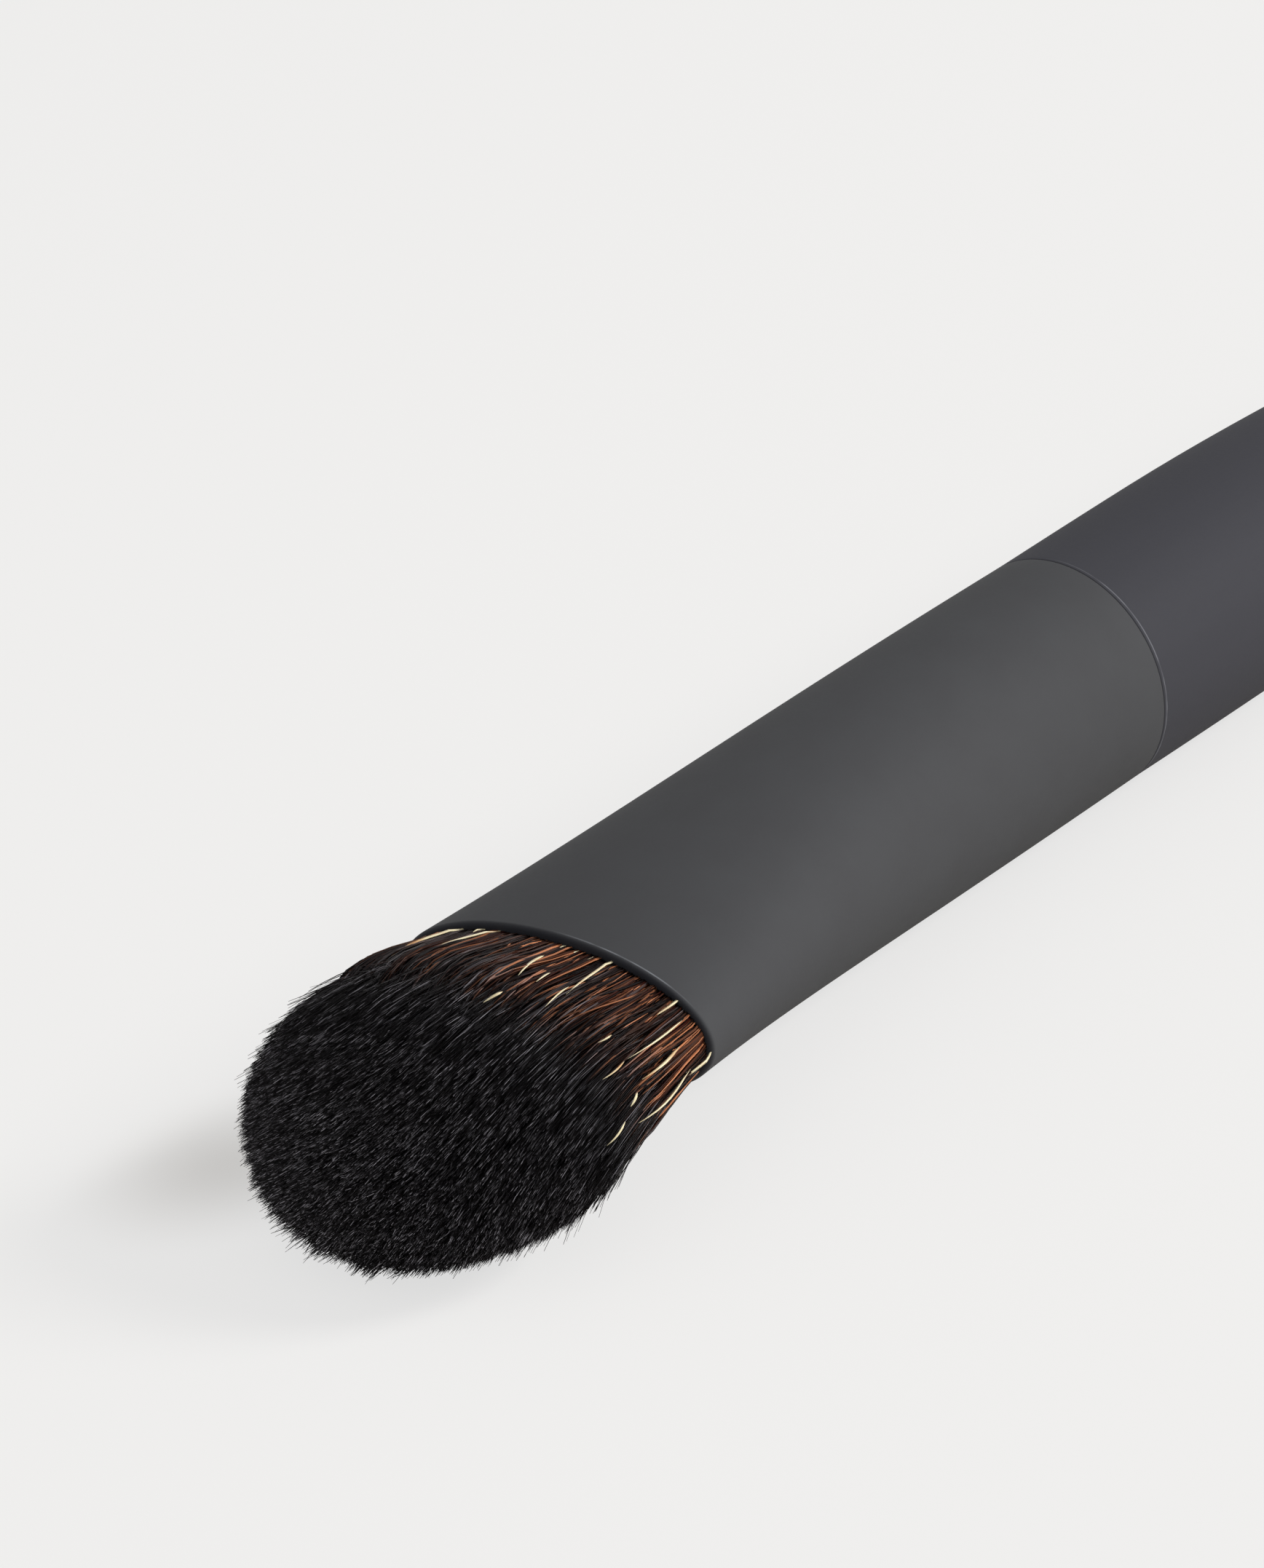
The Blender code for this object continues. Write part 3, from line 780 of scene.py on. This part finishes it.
def soft_touch_lacquer(name, dark, light, edge_dark, edge_highlight, highlight_side, streak):
    """Matte rubbery lacquer; streak is how many times longer than wide its colour patches are."""
    material, tree = new_tree(name)
    place = add_node(tree, "ShaderNodeTexCoord").outputs["Object"]
    stretched = add_node(tree, "ShaderNodeMapping", {"Vector": place, "Scale": (1 / streak, 1, 1)})
    patches = add_node(tree, "ShaderNodeTexNoise", {
        "Vector": stretched, "Scale": per_mm(PATCH_SIZE), "Detail": 4.0})
    beads = add_node(tree, "ShaderNodeTexNoise", {"Vector": place, "Scale": per_mm(BEAD_SIZE), "Detail": 2.0})
    peel = add_node(tree, "ShaderNodeTexNoise", {"Vector": place, "Scale": per_mm(PEEL_SIZE), "Detail": 1.0})
    edge = add_node(tree, "ShaderNodeAttribute", attribute_name="edge").outputs["Fac"]
    # Painted highlight: a thin light line beside the edge, on one side only.
    line = painted_highlight_line(tree, place, edge, peel, highlight_side)
    # Painted shade: the end face of the ferrule's lip, which faces away from the lamps, is coloured darker.
    lip_shade = add_node(tree, "ShaderNodeMapRange", {
        "Value": edge, "From Min": DARK_EDGE[0], "From Max": DARK_EDGE[1]})
    colour = linear(dark)
    for amount, other in ((patches, light), (line, edge_highlight), (lip_shade, edge_dark)):
        colour = add_node(tree, "ShaderNodeMix", {
            0: amount, 6: colour, 7: linear(other)}, data_type="RGBA").outputs[2]
    rough = add_node(tree, "ShaderNodeMapRange", {"Value": beads, "To Min": 0.66, "To Max": 0.78})
    fine = add_node(tree, "ShaderNodeBump", {"Height": beads, "Strength": 0.35, "Distance": 0.006 * MM})
    wavy = add_node(tree, "ShaderNodeBump", {
        "Height": peel, "Strength": 0.3, "Distance": 0.01 * MM, "Normal": fine})
    shader = add_node(tree, "ShaderNodeBsdfPrincipled", {
        "Base Color": colour, "Roughness": rough, "Normal": wavy, "IOR": 1.5, "Specular IOR Level": 0.1})
    add_node(tree, "ShaderNodeOutputMaterial", {"Surface": shader})
    return material


# After the lacquer's two tones come the painted shade of the lip and the painted highlight beside the edge.
dress(ferrule, soft_touch_lacquer(
    "soft_touch_lacquer_on_metal", "454547", "494a4c", "2e2f34", "85888d", (-0.5 * MM, -3.0 * MM), 1))
dress(handle, soft_touch_lacquer(
    "soft_touch_lacquer_on_wood", "3d3d42", "414146", "404045", "75767c", (0.0 * MM, -2.5 * MM), 14))

# %% [markdown]
# ## Hair
# The hair is dyed black, fine and glossy. Its sheen breaks up into glints: on few hairs, and on each of them
# in dashes, long beside the mouth and short as points on the dome. Reflections on hairs this thin would come
# out as render noise, so these glints are painted highlights, drawn in the colour. A noise texture makes
# them: its rows lie so far apart that neighbours differ, and it is read along the cube of the distance from
# the mouth. Near the mouth some hairs took up less dye and show their natural russet, which fades to black
# within 5 mm.

# %% Hair material
ROW_SPACING = 5000.0
DASH_POWER = 3.0
DASH_SCALE = 0.015
DASH_EDGES = (0.48, 0.6)
LEAST_DASH = 0.05
GLINT_POWER = 3.5
GLINTS_CLEAR = (2.0, 8.5)
LEAST_CLEAR = 0.25
BRIGHT_POWER = 2.8
RUSSET_FADE = (1.0, 5.0)


def glints(tree, along, shade):
    """How much of the painted glint colour shows at each place of each hair."""
    row = add_node(tree, "ShaderNodeMath", {0: shade, 1: ROW_SPACING}, operation="MULTIPLY")
    run = add_node(tree, "ShaderNodeMath", {0: along, 1: DASH_POWER}, operation="POWER")
    place = add_node(tree, "ShaderNodeCombineXYZ", {"X": run, "Y": row})
    noise = add_node(tree, "ShaderNodeTexNoise", {
        "Vector": place, "Scale": DASH_SCALE, "Detail": 1.0}, noise_dimensions="2D")
    pale = add_node(tree, "ShaderNodeMath", {0: shade, 1: GLINT_POWER}, operation="POWER")
    for value, (low, high), least in ((noise, DASH_EDGES, LEAST_DASH), (along, GLINTS_CLEAR, LEAST_CLEAR)):
        part = add_node(tree, "ShaderNodeMapRange", {
            "Value": value, "From Min": low, "From Max": high, "To Min": least})
        pale = add_node(tree, "ShaderNodeMath", {0: pale, 1: part}, operation="MULTIPLY")
    return pale


def hair_material(name, dark, light, russet_deep, russet_bright):
    """Dyed hair with painted glints, and a natural russet root on some of the hairs."""
    material, tree = new_tree(name)
    along, shade, warmth = (add_node(tree, "ShaderNodeAttribute", attribute_name=label).outputs["Fac"]
                            for label in ("along", "shade", "warmth"))
    bright = add_node(tree, "ShaderNodeMath", {0: shade, 1: BRIGHT_POWER}, operation="POWER")
    fade = add_node(tree, "ShaderNodeMapRange", {
        "Value": along, "From Min": RUSSET_FADE[0], "From Max": RUSSET_FADE[1], "To Min": 1.0, "To Max": 0.0},
        interpolation_type="SMOOTHSTEP")
    warmth = add_node(tree, "ShaderNodeMapRange", {"Value": warmth, "To Min": 0.05})
    amount = add_node(tree, "ShaderNodeMath", {0: fade, 1: warmth}, operation="MULTIPLY")
    # The dyed black, with the painted glints mixed in.
    dyed = add_node(tree, "ShaderNodeMix", {
        0: glints(tree, along, shade), 6: linear(dark), 7: linear(light)}, data_type="RGBA").outputs[2]
    natural = add_node(tree, "ShaderNodeMix", {
        0: bright, 6: linear(russet_deep), 7: linear(russet_bright)}, data_type="RGBA").outputs[2]
    colour = add_node(tree, "ShaderNodeMix", {0: amount, 6: dyed, 7: natural}, data_type="RGBA").outputs[2]
    rough = add_node(tree, "ShaderNodeMapRange", {"Value": shade, "To Min": 0.4, "To Max": 0.18})
    shader = add_node(tree, "ShaderNodeBsdfPrincipled", {
        "Base Color": colour, "Roughness": rough, "IOR": 1.55, "Specular IOR Level": 0.06})
    add_node(tree, "ShaderNodeOutputMaterial", {"Surface": shader})
    return material


# ccc8d0 is the painted glint colour; the two russets are the hair's own colour.
dyed_hair = hair_material("dyed_hair", "0b0809", "ccc8d0", "34130c", "ffa876")
for piece in hair_pieces:
    dress(piece, dyed_hair)

# %% [markdown]
# ## Cream hair and packed hair
# Undyed hair is cream, and amber where it is thick. Soft patches of amber stand for that, and also for painted
# shade where a hair lies in its neighbours' shade. In the imported middle the hairs are too dense to be told
# apart, and it shows only as streaks along the hair in the deepest gaps. Real hairs are finer than these
# streaks of 0.1 mm.

# %% Cream and packed hair
AMBER_SIZE = 0.8
STREAK_SIZE = 0.1
STREAK_STRETCH = 20


def cream_hair_material():
    """Undyed pale hair: cream, with patches of amber that are partly painted shade."""
    material, tree = new_tree("undyed_cream_hair")
    place = add_node(tree, "ShaderNodeTexCoord").outputs["Object"]
    amber = add_node(tree, "ShaderNodeTexNoise", {
        "Vector": place, "Scale": per_mm(AMBER_SIZE), "Detail": 1.0})
    amount = add_node(tree, "ShaderNodeMapRange", {"Value": amber, "From Min": 0.52, "From Max": 0.75})
    colour = add_node(tree, "ShaderNodeMix", {
        0: amount, 6: linear("f2e4bb"), 7: linear("cf9352")}, data_type="RGBA").outputs[2]
    shader = add_node(tree, "ShaderNodeBsdfPrincipled", {
        "Base Color": colour, "Roughness": 0.35, "IOR": 1.55, "Specular IOR Level": 0.5})
    add_node(tree, "ShaderNodeOutputMaterial", {"Surface": shader})
    return material


def packed_hair_material():
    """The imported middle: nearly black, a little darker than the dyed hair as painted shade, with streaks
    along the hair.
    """
    material, tree = new_tree("packed_hair")
    place = add_node(tree, "ShaderNodeTexCoord").outputs["Object"]
    stretched = add_node(tree, "ShaderNodeMapping", {
        "Vector": place, "Scale": (1 / STREAK_STRETCH, 1, 1)})
    streaks = add_node(tree, "ShaderNodeTexNoise", {
        "Vector": stretched, "Scale": per_mm(STREAK_SIZE), "Detail": 2.0})
    colour = add_node(tree, "ShaderNodeMix", {
        0: streaks, 6: linear("020202"), 7: linear("0a0808")}, data_type="RGBA").outputs[2]
    bump = add_node(tree, "ShaderNodeBump", {"Height": streaks, "Strength": 0.8, "Distance": 0.05 * MM})
    shader = add_node(tree, "ShaderNodeBsdfPrincipled", {
        "Base Color": colour, "Roughness": 0.6, "Normal": bump, "Specular IOR Level": 0.1})
    add_node(tree, "ShaderNodeOutputMaterial", {"Surface": shader})
    return material


dress(cream, cream_hair_material())
dress(packed_middle, packed_hair_material())

# %% [markdown]
# ## What is hidden inside
# Three solid pieces stay as they are, because nobody sees them unless the brush is taken apart. The resin
# that pots the roots is a clear amber epoxy. The tie is undyed cotton thread, whose fine twist is drawn as
# waves of 0.3 mm. The glue round the tenon is a white wood glue, which dries to a slightly yellow cream.
# One function makes all three, with a mottled pattern for what was poured and a banded one for the thread.

# %% Resin, thread and glue
TWIST_SIZE = 0.3
WAVE_BAND = 0.314
MOTTLED, BANDED = "ShaderNodeTexNoise", "ShaderNodeTexWave"


def hidden_material(name, dark, light, texture, size, roughness, transmission):
    """A mottled or banded material for an inner piece."""
    material, tree = new_tree(name)
    place = add_node(tree, "ShaderNodeTexCoord").outputs["Object"]
    pattern = add_node(tree, texture, {"Vector": place, "Scale": per_mm(size), "Detail": 2.0}).outputs["Fac"]
    colour = add_node(tree, "ShaderNodeMix", {
        0: pattern, 6: linear(dark), 7: linear(light)}, data_type="RGBA").outputs[2]
    bump = add_node(tree, "ShaderNodeBump", {"Height": pattern, "Strength": 0.4, "Distance": 0.03 * MM})
    shader = add_node(tree, "ShaderNodeBsdfPrincipled", {
        "Base Color": colour, "Roughness": roughness, "Normal": bump, "IOR": 1.5,
        "Transmission Weight": transmission})
    add_node(tree, "ShaderNodeOutputMaterial", {"Surface": shader})
    return material


# The bands of a wave texture lie 0.314 / scale apart.
HIDDEN = {
    "root_resin": hidden_material("clear_amber_epoxy", "a8742c", "c99a4c", MOTTLED, 1.5, 0.12, 0.6),
    "binding_thread": hidden_material(
        "undyed_cotton_thread", "b9b09a", "e2dbc8", BANDED, TWIST_SIZE / WAVE_BAND, 0.9, 0.0),
    "joint_glue": hidden_material("set_wood_glue", "d8cfae", "ebe4cc", MOTTLED, 0.8, 0.45, 0.0),
}
for name, material in HIDDEN.items():
    dress(bpy.data.objects[name], material)

# %% [markdown]
# ## The table
# The brush lies on a smooth matte board that the photograph shows as an even pale grey, with only a soft
# shadow at the hair. Lamps that bleach the board like that would bleach the brush too. Instead, most of what
# the camera sees of the board is an even glow, and the rest is the lit board with its real shadow. The glow's
# share is less close to the hair, so that the shadow shows. All other rays meet the plain board.

# %% Table top
TABLE_RADIUS = 2000.0 * MM
TABLE_DROP = 0.02 * MM
GLOW_SHARES = (0.36, 0.76)
SHADOW_PLACE = Vector((-0.0685, 0.0100, 0.0))
SHADOW_RUN = 6.0 * MM

floor_bm = bmesh.new()
bmesh.ops.create_circle(floor_bm, segments=64, radius=TABLE_RADIUS, cap_ends=True,
                        matrix=Matrix.Translation((0, 0, -TABLE_DROP)))
floor_mesh = bpy.data.meshes.new("table_top")
floor_bm.to_mesh(floor_mesh)
floor_bm.free()
floor = new_object("table_top", floor_mesh)

material, tree = new_tree("matte_white_board")
board = add_node(tree, "ShaderNodeBsdfPrincipled", {
    "Base Color": linear("f8f4ee"), "Roughness": 0.9, "Specular IOR Level": 0.0})
place = add_node(tree, "ShaderNodeTexCoord").outputs["Object"]
away = add_node(tree, "ShaderNodeVectorMath", {0: place, 1: SHADOW_PLACE}, operation="DISTANCE")
share = add_node(tree, "ShaderNodeMapRange", {
    "Value": away.outputs["Value"], "From Max": SHADOW_RUN, "To Min": GLOW_SHARES[0],
    "To Max": GLOW_SHARES[1]}, interpolation_type="SMOOTHSTEP")
white = add_node(tree, "ShaderNodeMix", {
    0: share, 6: linear("ffffff"), 7: linear("f0f0f0")}, data_type="RGBA").outputs[2]
glow = add_node(tree, "ShaderNodeEmission", {"Color": white, "Strength": 1.0})
camera_ray = add_node(tree, "ShaderNodeLightPath").outputs["Is Camera Ray"]
seen = add_node(tree, "ShaderNodeMath", {0: camera_ray, 1: share}, operation="MULTIPLY")
both = add_node(tree, "ShaderNodeMixShader", {0: seen, 1: board, 2: glow})
add_node(tree, "ShaderNodeOutputMaterial", {"Surface": both})
floor_mesh.materials.append(material)
print("table top:", round(floor_mesh.polygons[0].area, 1), "square metres")

# %% [markdown]
# ## The camera
# The camera stands in front of the tuft, low and to one side, tilted a little, so that the brush runs up to
# the right and leaves the picture there. A Track To constraint could aim it, but three directions take in the
# tilt too: to the right, up, and back to the camera.

# %% Camera
CAMERA_TURN = radians(42.64755)
CAMERA_HEIGHT = radians(22.65355)
CAMERA_TILT = radians(-11.99102)
CAMERA_DISTANCE = 134.327 * MM
CAMERA_ASIDE = -2.4555 * MM
CAMERA_LIFT = -6.8482 * MM

level_back = -Vector((sin(CAMERA_TURN), cos(CAMERA_TURN), 0))
back = level_back * cos(CAMERA_HEIGHT) + Vector((0, 0, sin(CAMERA_HEIGHT)))
level = (-back).cross(Vector((0, 0, 1))).normalized()
upright = level.cross(-back)
right = cos(CAMERA_TILT) * level + sin(CAMERA_TILT) * upright
up = cos(CAMERA_TILT) * upright - sin(CAMERA_TILT) * level
camera_data = bpy.data.cameras.new("camera")
camera_data.lens = 100.28
camera_data.sensor_width = 36
camera_data.clip_start = 0.001
camera_data.clip_end = 20
camera = new_object("camera", camera_data)
camera.matrix_world = Matrix((right, up, back)).transposed().to_4x4()
camera.matrix_world.translation = mouth - right * CAMERA_ASIDE - up * CAMERA_LIFT + back * CAMERA_DISTANCE
bpy.context.scene.camera = camera
print("camera at", [round(value / MM) for value in camera.matrix_world.translation], "mm")

# %% [markdown]
# ## Light
# The photograph was lit like most product shots: a wide soft source above and to the right, and a bright
# room that fills all shadows. A large area lamp is the source, a faint one fills the front, and the world is
# the room. The room is brighter at the horizon than overhead, which lifts the sides of the dark lacquer.

# %% Lamps and world
LAMPS = (("key_softbox", (0.6, -0.78, 0.5), 0.3, 0.88), ("front_fill", (-0.8, -0.5, 0.4), 0.8, 0.08))
ROOM_LEVELS = (0.6, 0.34)


def area_lamp(name, place, size, level):
    """A square lamp that lights a white surface facing it, at the brush, to this level."""
    data = bpy.data.lights.new(name, "AREA")
    data.size = size
    data.energy = level * pi**2 * Vector(place).length_squared
    lamp = new_object(name, data)
    lamp.location = place
    lamp.rotation_euler = (-Vector(place)).to_track_quat("-Z", "Y").to_euler()
    print(f"{name}: {data.energy:.2f} W")


for lamp in LAMPS:
    area_lamp(*lamp)
world = bpy.data.worlds.new("room")
world.use_nodes = True
tree = world.node_tree
tree.nodes.clear()
rays = add_node(tree, "ShaderNodeLightPath").outputs
seen = add_node(tree, "ShaderNodeMath", {0: rays["Is Camera Ray"], 1: rays["Is Glossy Ray"]}, operation="ADD")
seen = add_node(tree, "ShaderNodeMath", {
    0: seen, 1: rays["Is Transmission Ray"]}, operation="ADD", use_clamp=True)
sky = add_node(tree, "ShaderNodeTexCoord").outputs["Generated"]
height = add_node(tree, "ShaderNodeSeparateXYZ", {0: sky}).outputs["Z"]
level = add_node(tree, "ShaderNodeMapRange", {
    "Value": height, "To Min": ROOM_LEVELS[0], "To Max": ROOM_LEVELS[1]})
lit = add_node(tree, "ShaderNodeBackground", {"Color": linear("ffffff"), "Strength": level})
shown = add_node(tree, "ShaderNodeBackground", {"Color": linear("f1f1f1"), "Strength": 1.0})
both = add_node(tree, "ShaderNodeMixShader", {0: seen, 1: lit, 2: shown})
add_node(tree, "ShaderNodeOutputWorld", {"Surface": both})
bpy.context.scene.world = world
bpy.context.scene.view_settings.view_transform = "Standard"
